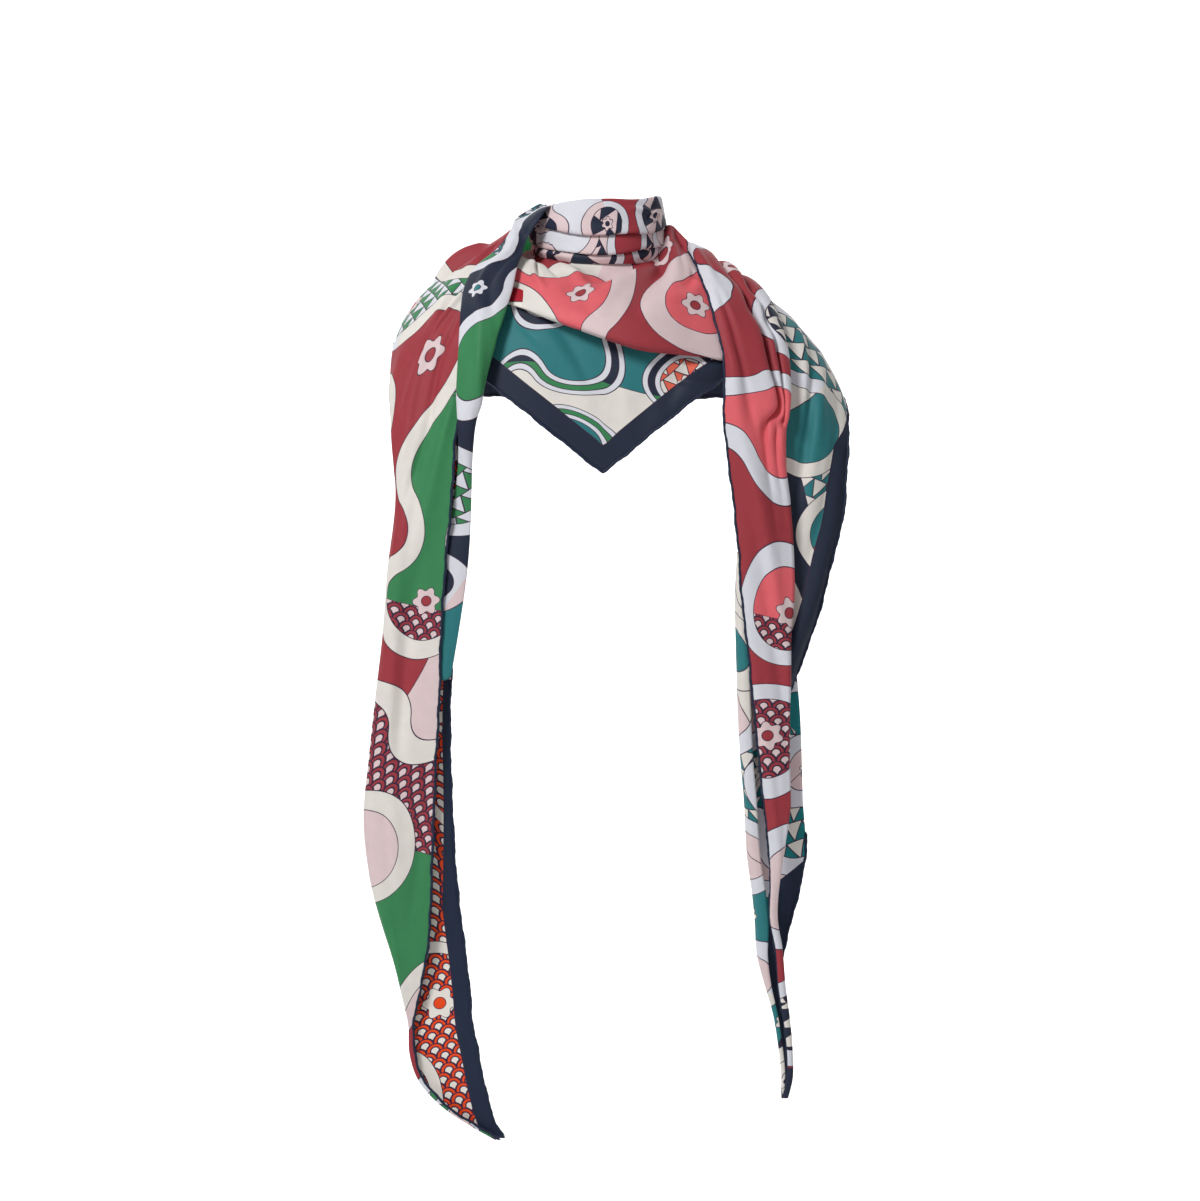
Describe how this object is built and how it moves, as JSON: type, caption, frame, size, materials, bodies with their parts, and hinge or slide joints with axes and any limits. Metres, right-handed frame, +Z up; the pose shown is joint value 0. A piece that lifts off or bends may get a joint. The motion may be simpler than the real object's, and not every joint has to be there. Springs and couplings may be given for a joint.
{
  "type": "triangle scarf, worn",
  "caption": "Large silk twill triangle scarf in its worn drape: folded round the neck, point on the chest, tails hanging in front.",
  "frame": {"origin": "centre of the base of the neck, level with the second fold of the neck wrap, inside the neck opening", "axes": "+Z up along the neck, -Y towards the front where the point and both tails hang, +X towards the tail that is on the right seen from the front"},
  "size_m": [0.4245, 0.2326, 0.8204],
  "materials": {
    "silk_wrap": "satin silk twill, ivory with crimson and navy shapes",
    "silk_front": "satin silk twill, crimson and ivory bands, teal shapes, navy border",
    "silk_left": "satin silk twill, crimson, ivory, green and teal shapes, navy border",
    "silk_right": "satin silk twill, ivory, crimson, green and teal shapes, navy border"
  },
  "bodies": {
    "root": {"neck_wrap": "silk_wrap", "cowl": "silk_front", "bib": "silk_front", "left_tail": "silk_left", "left_strand": "silk_left", "left_wing": "silk_left", "right_front": "silk_right", "right_outer": "silk_right", "right_back": "silk_right", "right_wing": "silk_right"}
  },
  "joints": []
}
